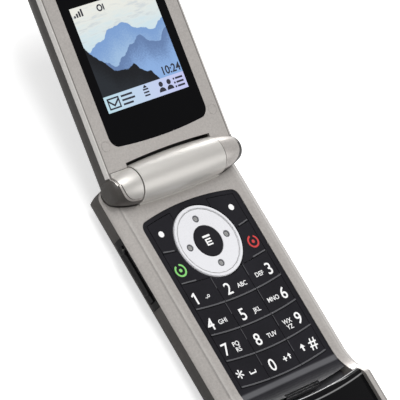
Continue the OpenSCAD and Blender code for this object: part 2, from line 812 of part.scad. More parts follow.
// Holder for the subscriber card, open towards the hinge
module sim_holder() {
    t = 0.2;
    color("gainsboro") translate([card_x, card_y, board_z - fit - card_h]) difference() {
        cube([card_w, card_l, card_h]);
        translate([t, t, t]) cube([card_w - 2 * t, card_l, 1]);
    }
}

module battery() {
    color([0.15, 0.15, 0.17]) difference() {
        translate([0, battery_y, battery_z]) linear_extrude(battery_t) rounded_rect(battery_w, battery_l, 1.5);
        // step over the card holder
        translate([card_x, card_y, battery_z + battery_t - 0.3] - 2 * slip * [1, 1, 0])
            cube([card_w + 4 * slip, card_l + 4 * slip, 1]);
    }
}

module battery_connector() {
    w = 9;
    color("goldenrod") translate([-w / 2, battery_y + battery_l / 2 + slip + 0.2, battery_z + 0.3]) {
        cube([w, 1.8, battery_t - 0.3]);
    }
}

module antenna() {
    color("khaki") intersection() {
        translate([0, 0, chin_z - wall - 1.5 - slip]) linear_extrude(1.5) intersection() {
            chin_outline(-wall - slip);
            translate([-far / 2, chin_end_y]) square([far, nose_y - 2.5 - chin_end_y]);
        }
        along_x(far) base_profile(wall + 0.3);
    }
}

screw_head_r = 1.6;
screw_head_h = 0.9;
screw_r = 0.75;
screw_l = 5;
speaker_r = 0.27 * chin_room;
speaker_x = base_w / 6;
speaker_y = (slot_y + chin_end_y) / 2;
motor_l = 0.37 * chin_room;

module loudspeaker() {
    color("darkgray") translate([speaker_x, speaker_y, board_top_z + fit]) {
        cylinder(r = speaker_r, h = 2.8);
        cylinder(r = speaker_r - 2, h = 3.2);
    }
}

module vibration_motor() {
    color("silver") translate([-speaker_x, speaker_y + 1, board_top_z + fit + 2.1]) rotate([90, 0, 0]) {
        cylinder(r = 2.1, h = motor_l, center = true);
        translate([0, 0, motor_l / 2]) cylinder(r = 0.5, h = 1.6);
    }
    color("darkgray") translate([-speaker_x, speaker_y + 0.3 - motor_l / 2, board_top_z + fit + 2.1]) rotate([90, 0, 0])
        difference() {
            cylinder(r = 1.9, h = 1.6);
            translate([-3, 0.3, -1]) cube([6, 3, 4]);
        }
}

module microphone() {
    color("gold") translate([0, mic_y, board_top_z + fit])
        cylinder(r = 1.9, h = key_bottom_z - board_top_z - 2 * fit);
}

module base_screws() {
    color("silver") screw_spots() {
        cylinder(r = screw_head_r, h = screw_head_h);
        cylinder(r = screw_r, h = screw_l);
    }
}

// ---------------------------------------------------------------- hinge

can_x0 = -2;
can_x1 = barrel_l / 2 - 0.4;
spring_x0 = can_x0 + 1.2;
spring_x1 = can_x0 + 8.5;

module hinge_barrel() {
    lip = 0.4;
    color(satin_silver) {
        at_hinge() difference() {
            crowned_bar(barrel_r, barrel_crown, barrel_l / 2);
            bar(barrel_bore_r, -barrel_l, barrel_l);
        }
        // thin lip where the barrel meets the silver face
        intersection() {
            at_hinge() difference() {
                crowned_bar(barrel_r, barrel_crown, barrel_l / 2 - 0.4, lip);
                crowned_bar(barrel_r, barrel_crown, barrel_l / 2, -0.02);
            }
            translate([-far / 2, hinge_y - 8, face_z + 0.01]) cube([far, 8, 0.3]);
        }
    }
}

module hinge_can() {
    color("gray") at_hinge() difference() {
        bar(barrel_bore_r - fit, can_x0, can_x1);
        bar(shaft_r + fit, spring_x1 - 0.1, can_x1 + 1);
        bar(barrel_bore_r - 0.5, spring_x0 - 0.1, spring_x1);
    }
}

module hinge_spring() {
    color("silver") at_hinge() difference() {
        bar(barrel_bore_r - 0.6, spring_x0, spring_x1 - 0.1);
        bar(shaft_r + 0.3, spring_x0 - 1, spring_x1 + 1);
    }
}

module hinge_shaft() {
    color("silver") in_lid() {
        bar(shaft_r, spring_x0 + 0.6, knuckle_in + 3.5);
        bar(shaft_r + 0.7, barrel_l / 2 + fit, knuckle_in + 3);
    }
}

bush_r = barrel_bore_r - fit;
bush_bore_r = 2.7;

module hinge_bush() {
    color("dimgray") in_lid() difference() {
        bar(bush_r, -knuckle_in - 3.5, -barrel_l / 2 + 6);
        bar(bush_bore_r, -far, far);
    }
}

module hinge_flex() {
    color("orange") at_hinge() difference() {
        bar(bush_bore_r - 0.3, -barrel_l / 2 - 3, can_x0 - 0.3);
        bar(bush_bore_r - 1, -far / 2, far / 2);
    }
}

// ---------------------------------------------------------------- display half

module lid_outline(inset = 0) {
    tongue_outline(lid_w - 2 * inset, lid_l - inset, 1, 9 - inset, 60 - inset);
}

// Cross-section seen along its length: face and strip on top, rounded back below
module lid_section(inset = 0) {
    half = lid_w / 2 - inset;
    r = lid_edge_r - inset;
    bottom = lid_back + inset;
    face_half = lid_face_w / 2 - inset;
    polygon([[-half, lid_split], [-face_half, lid_face], [face_half, lid_face], [half, lid_split]]);
    translate([-half, bottom + r]) square([2 * half, lid_split - bottom - r]);
    translate([-half + r, bottom]) square([2 * half - 2 * r, r]);
    for (x = [-1, 1])
        translate([x * (half - r), bottom + r]) circle(r = r);
}

// Seen along X: flat face that curves away before the tip, where it clears the ramp when closed
module lid_profile(inset = 0) {
    curl_s = ramp_from_hinge;
    curl_r = ramp_r - closed_gap;
    curl_z = lid_face - curl_r;
    tip_r = 3.2;
    length = lid_l - inset;
    bottom = lid_back + inset;
    polygon(concat(
        [[0, heel_z + inset], [heel_s, bottom]],
        arc_points(length - tip_r, bottom + tip_r, tip_r, -90, 0, 6),
        arc_points(curl_s, curl_z, curl_r, acos((length - curl_s) / curl_r), 90, 8),
        [[0, lid_face]]));
}

module lid_body(inset = 0) {
    intersection() {
        translate([0, 0, lid_back - 1]) linear_extrude(lid_t + 2) lid_outline(inset);
        along_y(far) lid_section(inset);
        along_x(far) lid_profile(inset);
    }
}

// The lid with its two knuckles, cut back round the barrel
module lid_solid() {
    difference() {
        union() {
            difference() {
                lid_body();
                translate([-knuckle_in, -1, -far / 2]) cube([2 * knuckle_in, 3, far]);
            }
            for (side = [0, 1]) mirror([side, 0, 0]) knuckle_bar(knuckle_in);
        }
        crowned_bar(barrel_r, barrel_crown, knuckle_in, barrel_gap);
    }
}

// What is silver on the display half: its face and strip, and the front of each knuckle above a line
// that runs level and then turns up before the dark end
module silver_zone(inset = 0) {
    front_s = 1;                  // in front of this the turning line takes over from the strip's edge
    side_x = lid_w / 2 - 0.85 - inset;
    intersection() {
        above(lid_split);
        translate([-far / 2, front_s, -far / 2]) cube([far, far, far]);
        union() {
            translate([-side_x, -far / 2, -far / 2]) cube([2 * side_x, far, far]);
            if (inset == 0) translate([-far / 2, 3.5, -far / 2]) cube([far, far, far]);
        }
    }
    intersection() {
        translate([-far / 2, front_s + slip - far, -far / 2]) cube([far, far, far]);
        rotate([-lid_tilt, 0, 0]) translate([0, 0, knuckle_line_z]) along_y(far) {
            translate([-knuckle_turn_x, inset]) square([2 * knuckle_turn_x, far]);
            for (x = [-1, 1]) translate([x * knuckle_turn_x, knuckle_turn_r]) circle(r = knuckle_turn_r - inset);
        }
    }
}

module lens_outline(grow = 0) {
    w = lens_w + 2 * grow;
    bow_r = 140;
    translate([0, lens_from_hinge - grow]) intersection() {
        rounded_top(w, lens_l + 2 * grow, 3, bow_r);
        translate([0, lens_l + 2 * grow]) mirror([0, 1]) rounded_top(w, lens_l + 2 * grow, 3, bow_r);
        translate([0, bow_r]) circle(r = bow_r, $fn = sweep_fn);
        translate([0, lens_l + 2 * grow - bow_r]) circle(r = bow_r, $fn = sweep_fn);
    }
}

cover_x = lid_w / 2 - 3.45;
cover_s = 11.2;
cover_r = 1.3;
earpiece_s = lid_l - 8.1;
outer_lens_w = lid_w - 18.5;
outer_lens_l = lid_l / 4;
outer_lens_s = screen_from_hinge + 3.3;

module screw_cover_spots() {
    for (x = [-1, 1]) translate([x * cover_x, cover_s, 0]) children();
}

// Where the left knuckle's silver top is a cap of its own, inside a thin rim of the shell
module cap_zone(gap = 0) {
    cap_rim = 0.55;
    cap_groove = 0.2;
    intersection() {
        translate([-far - knuckle_in, -far, -far / 2]) cube([far, far + cap_seam_s - gap, far]);
        silver_zone(gap > 0 ? cap_rim + cap_groove : cap_rim);
    }
}

module silver_part() {
    intersection() {
        lid_solid();
        silver_zone();
    }
}

module lid_front_shell() {
    color(silver) in_lid() difference() {
        union() {
            silver_part();
            // plate inside the dark wall
            intersection() {
                lid_body(wall + slip);
                translate([-far / 2, 7.2 + slip, lid_inner_z]) cube([far, far, lid_split - lid_inner_z + 0.2]);
            }
        }
        crowned_bar(barrel_r, barrel_crown, knuckle_in, barrel_gap);
        cap_zone();
        translate([0, 0, lens_floor]) linear_extrude(far) lens_outline(fit);
        translate([0, screen_from_hinge, 0]) cube([screen_w + 1, screen_w + 1, far], center = true);
        screw_cover_spots() translate([0, 0, lid_face - 0.7]) cylinder(r = cover_r + fit, h = far);
        screw_cover_spots() translate([0, 0, lid_face - 2]) cylinder(r = 0.7 + fit, h = far);
        translate([0, earpiece_s, lid_face - 0.4]) linear_extrude(far) rounded_rect(9.6, 1.9, 0.94);
        for (x = [-3:1:3]) translate([x * 1.2, earpiece_s, 0]) linear_extrude(far) rounded_rect(0.7, 1.2, 0.34);
        at_shaft_socket();
    }
}

module at_shaft_socket() {
    bar(shaft_r + fit, knuckle_in - 1, knuckle_in + 3.6);
    bar(shaft_r + 0.7 + fit, knuckle_in - 1, knuckle_in + 3.1);
    bar(bush_r + fit, -knuckle_in - 3.6, -knuckle_in + 1);
}

module lid_rear_shell() {
    color(dark_grey) in_lid() difference() {
        lid_solid();
        silver_zone();
        // room for the display and its board
        intersection() {
            lid_body(wall);
            translate([-far / 2, 7.2, lid_back + wall]) cube([far, far, far]);
        }
        translate([0, 0, -far / 2]) linear_extrude(far) outer_lens_outline(-1);
        translate([0, 0, lid_back - 1]) linear_extrude(1 + 0.7) outer_lens_outline(fit);
        screw_cover_spots() translate([0, 0, lid_back + 3.4]) cylinder(r = 0.7 + fit, h = far);
        at_shaft_socket();
    }
}

module hinge_cap() {
    color(satin_silver) in_lid() difference() {
        intersection() {
            lid_solid();
            cap_zone(seam_line);
        }
        at_shaft_socket();
    }
}

module display_lens() {
    color(gloss_black) in_lid() translate([0, 0, lens_floor + 0.02]) linear_extrude(lens_t - 0.02) lens_outline();
}

module main_display() {
    color([0.75, 0.85, 0.95]) in_lid() difference() {
        translate([-screen_w / 2 - 3, screen_from_hinge - screen_w / 2 - 6, display_z])
            cube([screen_w + 6, screen_w + 10, display_t]);
        translate([-screen_w / 2, screen_from_hinge - screen_w / 2, display_z + display_t - 0.1])
            cube([screen_w, screen_w, 1]);
    }
}

module lid_board() {
    color([0.05, 0.35, 0.2]) in_lid() difference() {
        translate([-lid_w / 2 + 3.25, 8.4, lid_board_z]) cube([lid_w - 6.5, lid_l - 14, lid_board_t]);
        screw_cover_spots() translate([0, 0, -far / 2]) cylinder(r = 1, h = far);
    }
}

module earpiece() {
    color("darkgray") in_lid() translate([0, earpiece_s, lid_board_z + lid_board_t + fit])
        linear_extrude(lid_inner_z - lid_board_z - lid_board_t - 2 * fit) rounded_rect(12, 6.4, 3);
}

module outer_lens_outline(grow = 0) {
    translate([0, outer_lens_s]) rounded_rect(outer_lens_w + 2 * grow, outer_lens_l + 2 * grow, 4 + grow);
}

module outer_lens() {
    color(gloss_black) in_lid() translate([0, 0, lid_back]) linear_extrude(0.7 - 0.02) outer_lens_outline();
}

module outer_display() {
    w = outer_lens_w - 4;
    l = outer_lens_l - 5;
    z = lid_back + 0.75;
    color([0.55, 0.6, 0.6]) in_lid() translate([-w / 2, outer_lens_s - l / 2, z]) cube([w, l, lid_board_z - fit - z]);
}

module screw_covers() {
    color(silver) in_lid() screw_cover_spots() translate([0, 0, lid_face - 0.65]) cylinder(r = cover_r, h = 0.65);
}

module lid_screws() {
    color("silver") in_lid() screw_cover_spots() translate([0, 0, lid_back + 3.5]) {
        cylinder(r = 0.7, h = lid_face - 0.72 - lid_back - 3.5);
    }
}

front_frame();
rear_shell();
chin_cover();
mic_bar();
keypad_bezel();
key_web();
dome_sheet();
main_board();
shield_can();
sim_holder();
battery();
battery_connector();
battery_cover();
side_trim();
volume_rocker();
usb_port();
headset_jack();
antenna();
loudspeaker();
vibration_motor();
microphone();
hinge_barrel();
hinge_can();
hinge_spring();
base_screws();
number_key(-1, 1);  // key_1
number_key(0, 1);  // key_2
number_key(1, 1);  // key_3
number_key(-1, 2);  // key_4
number_key(0, 2);  // key_5
number_key(1, 2);  // key_6
number_key(-1, 3);  // key_7
number_key(0, 3);  // key_8
number_key(1, 3);  // key_9
number_key(-1, 4);  // key_star
number_key(0, 4);  // key_0
number_key(1, 4);  // key_hash
soft_key(-1);  // soft_key_left
soft_key(1);  // soft_key_right
side_key(-1);  // call_key
side_key(1);  // end_key
nav_actuator();
nav_ring();
select_key();
lid_front_shell();
lid_rear_shell();
display_lens();
main_display();
lid_board();
earpiece();
outer_lens();
outer_display();
screw_covers();
lid_screws();
hinge_cap();
hinge_shaft();
hinge_bush();
hinge_flex();
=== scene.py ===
"""Looks of the clamshell telephone: camera, light, finishes, legends and the picture on its display."""
import json
from math import cos, pi, radians, sin

import bmesh
import bpy
from mathutils import Matrix, Vector


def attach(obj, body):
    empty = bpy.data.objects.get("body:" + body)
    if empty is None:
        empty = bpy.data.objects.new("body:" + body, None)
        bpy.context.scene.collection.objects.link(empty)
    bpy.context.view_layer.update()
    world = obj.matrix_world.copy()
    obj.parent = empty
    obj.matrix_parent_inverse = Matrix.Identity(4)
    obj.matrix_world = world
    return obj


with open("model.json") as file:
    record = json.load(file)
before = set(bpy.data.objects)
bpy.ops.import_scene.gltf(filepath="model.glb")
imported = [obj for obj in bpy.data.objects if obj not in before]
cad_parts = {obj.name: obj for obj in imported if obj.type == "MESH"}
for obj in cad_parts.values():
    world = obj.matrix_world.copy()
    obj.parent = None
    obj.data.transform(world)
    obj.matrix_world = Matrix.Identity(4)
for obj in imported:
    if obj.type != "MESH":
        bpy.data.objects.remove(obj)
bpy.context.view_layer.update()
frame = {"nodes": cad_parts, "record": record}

MM = 0.001
HINGE = Vector((0, 44, 10.9)) * MM
NAV = Vector((0, 23.93, 9.0)) * MM       # middle of the navigation ring, on the keypad's surface
LID_TILT = radians(14.5)
CREASE = 20                              # from the middle to the crease beside the flat face, in mm
SLOT_ARC = 115, 91.73                    # radius of the arc before the chin cover, and y of its middle, in mm
SILVER, FLAKE = (0.515, 0.485, 0.46), 0.50
PAINTED_EDGE_HIGHLIGHT = (0.95, 0.93, 0.90)              # painted highlight along an edge
# painted shade for creases, the groove at the display half's edge and the frame's outer edge
PAINTED_SHADE = (0.05, 0.047, 0.043)
# From the display half's own millimetres (across, away from the hinge, out of its face) to the frame
LID = Matrix.Translation(HINGE) @ Matrix.Rotation(LID_TILT, 4, "X") @ Matrix.Scale(MM, 4)
# From millimetres about the middle of the navigation ring to the frame
KEYPAD = Matrix.Translation(NAV) @ Matrix.Scale(MM, 4)


# ---------------------------------------------------------------- camera, floor and light

def place_camera():
    """The photograph's view: a long lens, high to the left and behind the chin, rolled with the phone."""
    right = Vector((0.7081, -0.5000, 0.4985))
    up = Vector((0.2720, 0.8447, 0.4609))
    back = right.cross(up).normalized()
    up = back.cross(right.normalized())
    data = bpy.data.cameras.new("photo_camera")
    data.lens = 246.45
    data.sensor_width = 36
    data.clip_start = 0.05
    camera = bpy.data.objects.new("photo_camera", data)
    bpy.context.scene.collection.objects.link(camera)
    turn = Matrix((right.normalized(), up, back)).transposed().to_4x4()
    camera.matrix_world = Matrix.Translation((-0.4502, -0.0985, 0.5214)) @ turn
    bpy.context.scene.camera = camera


def area_light(name, place, target, size, watts, colour=(1, 1, 1)):
    data = bpy.data.lights.new(name, "AREA")
    data.shape = "RECTANGLE"
    data.size, data.size_y = size
    data.energy = watts
    data.color = colour
    light = bpy.data.objects.new(name, data)
    bpy.context.scene.collection.objects.link(light)
    place, target = Vector(place), Vector(target)
    turn = (place - target).to_track_quat("Z", "Y").to_matrix().to_4x4()
    light.matrix_world = Matrix.Translation(place) @ turn


# ---------------------------------------------------------------- finishes

class Flow:
    """A number, colour or vector on its way through a finish's nodes."""

    def __init__(self, finish, socket):
        self.finish, self.socket = finish, socket

    def _math(self, operation, *values):
        return self.finish.node("ShaderNodeMath", {"operation": operation}, dict(enumerate(values)))

    def __add__(self, other): return self._math("ADD", self, other)
    def __radd__(self, other): return self._math("ADD", other, self)
    def __sub__(self, other): return self._math("SUBTRACT", self, other)
    def __rsub__(self, other): return self._math("SUBTRACT", other, self)
    def __mul__(self, other): return self._math("MULTIPLY", self, other)
    def __rmul__(self, other): return self._math("MULTIPLY", other, self)
    def __truediv__(self, other): return self._math("DIVIDE", self, other)
    def __pow__(self, other): return self._math("POWER", self, other)
    def __abs__(self): return self._math("ABSOLUTE", self)
    def sine(self): return self._math("SINE", self)
    def least(self, other): return self._math("MINIMUM", self, other)
    def most(self, other): return self._math("MAXIMUM", self, other)

    def step(self, low, high):
        """0 below low, 1 above high, smooth between."""
        return self.finish.node("ShaderNodeMapRange", {"interpolation_type": "SMOOTHSTEP"},
                                {"Value": self, "From Min": low, "From Max": high})


class Finish:
    """A procedural material."""

    def __init__(self, name):
        self.material = bpy.data.materials.new(name)
        self.material.use_nodes = True
        self.tree = self.material.node_tree
        self.tree.nodes.clear()
        self.coords = self.node("ShaderNodeTexCoord", {}, {}, "Object")

    def node(self, kind, settings, sockets, output=0):
        node = self.tree.nodes.new(kind)
        for key, value in settings.items():
            setattr(node, key, value)
        for key, value in sockets.items():
            if isinstance(value, Flow):
                self.tree.links.new(value.socket, node.inputs[key])
            else:
                node.inputs[key].default_value = value
        return Flow(self, node.outputs[output])

    def noise(self, scale, detail=3, roughness=0.5, coords=None):
        return self.node("ShaderNodeTexNoise", {},
                         {"Vector": coords or self.coords, "Scale": scale, "Detail": detail,
                          "Roughness": roughness})

    def blend(self, amount, a, b):
        """Colour a where amount is 0, b where it is 1."""
        a, b = ((*c, 1) if isinstance(c, tuple) else c for c in (a, b))
        return self.node("ShaderNodeMix", {"data_type": "RGBA"}, {0: amount, 6: a, 7: b}, 2)

    def bump(self, height, distance, strength=1.0, normal=None):
        sockets = {"Height": height, "Distance": distance, "Strength": strength}
        if normal is not None:
            sockets["Normal"] = normal
        return self.node("ShaderNodeBump", {}, sockets)

    def soft_edge(self, radius):
        return self.node("ShaderNodeBevel", {"samples": 4}, {"Radius": radius})

    def parts(self, vector):
        node = self.tree.nodes.new("ShaderNodeSeparateXYZ")
        self.tree.links.new(vector.socket, node.inputs[0])
        return [Flow(self, out) for out in node.outputs]

    def finish(self, **sockets):
        """Closes the finish; keyword names are the shader's sockets with underscores for spaces."""
        values = {key.replace("_", " "): (*v, 1) if isinstance(v, tuple) else v
                  for key, v in sockets.items()}
        surface = self.node("ShaderNodeBsdfPrincipled", {}, values)
        out = self.tree.nodes.new("ShaderNodeOutputMaterial")
        self.tree.links.new(surface.socket, out.inputs["Surface"])
        return self.material


def lid_places(f):
    """The display half's own millimetres: across, away from the hinge, out of its face."""
    return f.node("ShaderNodeMapping", {"vector_type": "TEXTURE"},
                  {"Vector": f.coords, "Location": tuple(HINGE), "Rotation": (LID_TILT, 0, 0),
                   "Scale": (MM, MM, MM)})


def silver_paint(name, colour, grain, metal=0.55, rough=0.36, edge=0.12, lines=None):
    """Metallic lacquer: fine flake that varies colour and gloss, over a faint orange peel; lines adds painted
    highlights and painted shade along edges.
    """
    f = Finish(name)
    flake = f.noise(5200, 2, 0.6)
    cloud = f.noise(90, 4)
    speck = f.noise(1900, 2, 0.7)
    lift = (flake - 0.5) * grain + (speck - 0.5) * grain * 2.2 + (cloud - 0.5) * 0.10
    dark = tuple(c * 0.80 for c in colour)
    light = tuple(min(1, c * 1.18) for c in colour)
    peel = f.noise(1500, 2)
    shade = f.blend((lift + 0.5).most(0).least(1), dark, light)
    if lines == "crease":
        # the crease beside the flat face: a line of painted shade, and a painted highlight on the stretch
        # that leads up to it
        side, _, top = (abs(v / MM) for v in f.parts(f.coords))
        lit = side.step(CREASE - 1.3, CREASE - 0.2) * (1 - side.step(CREASE - 0.2, CREASE + 0.1))
        shade = f.blend(lit * 0.16 * top.step(7, 7.5), shade, PAINTED_EDGE_HIGHLIGHT)
        line = side.step(CREASE - 0.15, CREASE + 0.05) * (1 - side.step(CREASE + 0.2, CREASE + 0.55))
        shade = f.blend(line * 0.30 * top.step(7, 7.5), shade, PAINTED_SHADE)
        # painted shade on the outer edge of the frame, beyond 22.2 mm from the middle and higher than 5.5 to
        # 6.8 mm
        shade = f.blend(side.step(22.2, 22.7) * top.step(5.5, 6.8) * 0.12, shade, PAINTED_SHADE)
    if lines == "lid":
        # a moulded line just inside the edge of the face, darkened with painted shade, and a painted
        # highlight on the strip outside it
        across, _, out = f.parts(lid_places(f))
        side = abs(across)
        shade = f.blend(side.step(21.25, 21.4) * 0.55, shade, PAINTED_EDGE_HIGHLIGHT)
        line = side.step(20.86, 20.96) * (1 - side.step(21.14, 21.24)) * out.step(1.2, 1.3)
        shade = f.blend(line * 0.72, shade, PAINTED_SHADE)
    return f.finish(
        Base_Color=shade,
        Metallic=metal,
        Roughness=(rough + (flake - 0.5) * 0.22 + (cloud - 0.5) * 0.12 + (speck - 0.5) * 0.12),
        Normal=f.bump(flake * 0.6 + peel * 0.4, 0.00001, 0.5, f.soft_edge(edge * MM)))


def moulded(name, colour, rough=0.45, grain=0.5, edge=0.12, spread=0.25, shine=0.3, scale=2600):
    """Moulded plastic or rubber with a fine spark-eroded grain and slow changes of tone."""
    f = Finish(name)
    fine = f.noise(scale, 3, 0.6)
    slow = f.noise(60, 4)
    dark = tuple(c * (1 - spread) for c in colour)
    light = tuple(min(1, c * (1 + spread)) for c in colour)
    return f.finish(
        Base_Color=f.blend((slow * 0.7 + fine * 0.3).step(0.3, 0.7), dark, light),
        Roughness=(rough + (fine - 0.5) * 0.2 + (slow - 0.5) * 0.15), Specular_IOR_Level=shine,
        Normal=f.bump(fine, 0.00001 * grain, 0.6, f.soft_edge(edge * MM)))


def behind_slot(f):
    """Millimetres from the arc of the slot before the chin cover: negative on the keypad's side."""
    x, y, _ = (v / MM for v in f.parts(f.coords))
    return (x * x + (y - SLOT_ARC[1]) * (y - SLOT_ARC[1])) ** 0.5 - SLOT_ARC[0]


def keypad_moulding(name, colour, highlight_colour, ramp=False):
    """The keypad's satin plastic, with a painted highlight on the ridges that stand above it."""
    f = Finish(name)
    fine = f.noise(2600, 3, 0.6)
    slow = f.noise(60, 4)
    height = f.parts(f.coords)[2] / MM
    painted_highlight = height.step(9.06, 9.16) * (1 - height.step(9.3, 9.5)) * (0.75 + slow * 0.5)
    if ramp:
        # painted highlight on the sloping strip before the slot, toward its lower edge
        behind = behind_slot(f)
        painted_highlight = painted_highlight + behind.step(-2.6, -0.5) * (1 - behind.step(-0.35, -0.15)) * (0.8 + slow * 0.4)
    dark, light = tuple(c * 0.75 for c in colour), tuple(c * 1.25 for c in colour)
    plastic = f.blend((slow * 0.7 + fine * 0.3).step(0.3, 0.7), dark, light)
    return f.finish(
        Base_Color=f.blend(painted_highlight.least(1), plastic, highlight_colour), Specular_IOR_Level=0.2,
        Roughness=0.36 + (fine - 0.5) * 0.2 + (slow - 0.5) * 0.15,
        Normal=f.bump(fine, 0.000004, 0.6, f.soft_edge(0.06 * MM)))


def polished(name, colour, rough=0.08, edge=0.12, shine=0.12):
    """Polished moulding with the faint haze and hairlines of handling."""
    f = Finish(name)
    haze = f.noise(45, 5, 0.6)
    stretched = f.node("ShaderNodeMapping", {}, {"Vector": f.coords, "Rotation": (0, 0, 0.5),
                                                 "Scale": (6, 0.4, 1)})
    hair = f.noise(900, 2, 0.5, stretched)
    return f.finish(
        Base_Color=f.blend(haze, tuple(c * 0.8 for c in colour), tuple(c * 1.25 for c in colour)),
        Roughness=(rough + haze * 0.06 + hair.step(0.62, 0.75) * 0.05),
        Specular_IOR_Level=shine, Normal=f.soft_edge(edge * MM))


def chin_gloss(name, colour):
    """Polished black with painted highlights on its front lip and on the fold behind it, along the arc of the
    slot.
    """
    f = Finish(name)
    haze = f.noise(45, 5, 0.6)
    behind = behind_slot(f)
    lip = behind.step(-0.1, 0.02) * (1 - behind.step(0.16, 0.30))
    fold = behind.step(1.65, 1.85) * (1 - behind.step(1.95, 2.2))
    # painted highlight: pale lines on the lip and the fold
    shine = lip * 0.75 + fold * (0.30 + haze * 0.15)
    return f.finish(
        Base_Color=f.blend(shine.least(1), tuple(c * 0.9 for c in colour), (0.62, 0.62, 0.62)),
        Roughness=0.07 + haze * 0.06, Specular_IOR_Level=0.12, Normal=f.soft_edge(0.2 * MM))


def worn_gloss(name, colour, scuffed):
    """Polished black with small pale scuffs."""
    f = Finish(name)
    haze = f.noise(45, 5, 0.6)
    scuffs = f.noise(700, 3, 0.6).step(0.60, 0.70) * f.noise(160, 2).step(0.48, 0.6)
    return f.finish(
        Base_Color=f.blend(scuffs * 0.6, colour, scuffed),
        Roughness=0.1 + haze * 0.08 + scuffs * 0.3, Specular_IOR_Level=0.2, Normal=f.soft_edge(0.12 * MM))


def metal(name, colour, rough=0.32, edge=0.06, scale=(4, 90, 90)):
    """Plated or drawn metal with fine lines."""
    f = Finish(name)
    lines = f.noise(40, 4, 0.6, f.node("ShaderNodeMapping", {}, {"Vector": f.coords, "Scale": scale}))
    slow = f.noise(160, 3)
    return f.finish(
        Base_Color=f.blend(slow, tuple(c * 0.82 for c in colour), tuple(min(1, c * 1.1) for c in colour)),
        Metallic=1.0, Roughness=(rough + (lines - 0.5) * 0.25),
        Normal=f.bump(lines, 0.000006, 0.5, f.soft_edge(edge * MM)))


def printed(name, colour, glow=0.0):
    """Ink of a legend: slightly uneven, matt; glow makes the ink give off painted light of its own."""
    f = Finish(name)
    uneven = f.noise(3500, 2)
    shade = f.blend(uneven, tuple(c * 0.86 for c in colour), colour)
    return f.finish(Base_Color=shade, Roughness=0.5 + (uneven - 0.5) * 0.2,
                    Emission_Color=shade, Emission_Strength=glow)


def display_picture():
    """Layered hills under a pale sky, lit from behind."""
    f = Finish("display_picture")
    place = lid_places(f)
    across, along, _ = f.parts(place)
    wander = f.noise(0.16, 4, 0.55, place)
    speckle = f.noise(2.2, 3, 0.6, place)
    stretched = f.node("ShaderNodeMapping", {}, {"Vector": place, "Scale": (0.35, 1.6, 1)})
    streaks = f.noise(0.5, 4, 0.6, stretched)
    height = ((along - 34) / 12 + (streaks - 0.5) * 1.4).step(0, 1)
    picture = f.blend(height, (0.60, 0.74, 0.80), (0.80, 0.80, 0.74))
    picture = f.blend(streaks.step(0.5, 0.66) * 0.45, picture, (0.42, 0.52, 0.62))
    for base, lean, waves, low, high in (
            (37.5, 0.05, ((0.30, 2.0, 1.7), (1.1, 0.3, 0.35)), (0.34, 0.50, 0.72), (0.20, 0.34, 0.62)),
            (32.5, 0.16, ((0.42, 0.4, 1.5), (1.5, 1.0, 0.3)), (0.26, 0.42, 0.72), (0.13, 0.21, 0.40)),
            (27.0, -0.55, ((0.38, 1.1, 1.2), (1.3, 2.0, 0.3)), (0.020, 0.024, 0.030), (0.010, 0.011, 0.014))):
        ridge = base + across * lean + (wander - 0.5) * 5
        for pace, start, tall in waves:
            ridge = ridge + (across * pace + start).sine() * tall
        shade = f.blend(((ridge - along) / 8 + (speckle - 0.5) * 0.9).step(0, 1), high, low)
        picture = f.blend(1 - (along - ridge).step(-0.12, 0.12), picture, shade)
    bar_top = f.blend((across / 28 + 0.5), (0.50, 0.70, 0.78), (0.55, 0.56, 0.86))
    picture = f.blend(1 - (along - 23).step(-0.05, 0.05), picture, bar_top)
    # rows of picture cells
    cells = ((across * 2 * pi * 128 / 28).sine() * (along * 2 * pi * 128 / 28).sine()) * 0.03 + 0.97
    shaded = f.blend(1 - cells, picture, (0, 0, 0))
    return f.finish(Base_Color=f.blend(0.94, shaded, (0, 0, 0)), Emission_Color=shaded, Emission_Strength=1.0,
                    Roughness=0.12 + wander * 0.03, Specular_IOR_Level=0.2)


FINISHES = {
    "silver_paint": silver_paint("silver_paint", SILVER, FLAKE),
    "satin_silver": silver_paint("satin_silver", (0.60, 0.58, 0.55), 0.08, 0.5, 0.40),
    "dark_plastic": moulded("dark_plastic", (0.056, 0.051, 0.047), 0.40),
    "gloss_black": polished("gloss_black", (0.0035, 0.0033, 0.0045), 0.08, 0.12, 0.35),
    "keypad_plastic": keypad_moulding("keypad_plastic", (0.0085, 0.008, 0.0115), (0.10, 0.10, 0.108)),
    "ring_plastic": silver_paint("ring_plastic", (0.80, 0.80, 0.83), 0.10, 0.0, 0.30, 0.10),
    "grey_rubber": moulded("grey_rubber", (0.06, 0.06, 0.065), 0.7),
    "dome_film": moulded("dome_film", (0.45, 0.45, 0.42), 0.4),
    "board_green": moulded("board_green", (0.01, 0.09, 0.035), 0.35, 1.0, 0.06, 0.5, 0.3, 900),
    "plated_steel": metal("plated_steel", (0.55, 0.55, 0.54)),
    "gold_contacts": metal("gold_contacts", (0.75, 0.52, 0.18), 0.25),
    "battery_wrap": moulded("battery_wrap", (0.014, 0.014, 0.017), 0.5),
    "acetal": moulded("acetal", (0.02, 0.02, 0.022), 0.4),
    "flex_film": moulded("flex_film", (0.45, 0.16, 0.02), 0.3),
    "antenna_plastic": moulded("antenna_plastic", (0.42, 0.38, 0.24), 0.5),
    "speaker_grey": moulded("speaker_grey", (0.04, 0.04, 0.043), 0.55),
    "display_panel": moulded("display_panel", (0.35, 0.5, 0.7), 0.2, 0.1),
}
LEGEND_WHITE = printed("legend_white", (0.82, 0.82, 0.82), 0.22)
# grey of the raised lines: a painted highlight
RIDGE_HIGHLIGHT = printed("ridge_highlight", (0.10, 0.10, 0.108))
RING_GREY = printed("ring_grey", (0.10, 0.10, 0.11))
CALL_GREEN = printed("call_green", (0.22, 0.60, 0.16), 0.15)
END_RED = printed("end_red", (0.55, 0.035, 0.035), 0.15)
WINDOW_BLACK = polished("window_black", (0.0022, 0.0022, 0.0028), 0.06, 0.10, 0.08)
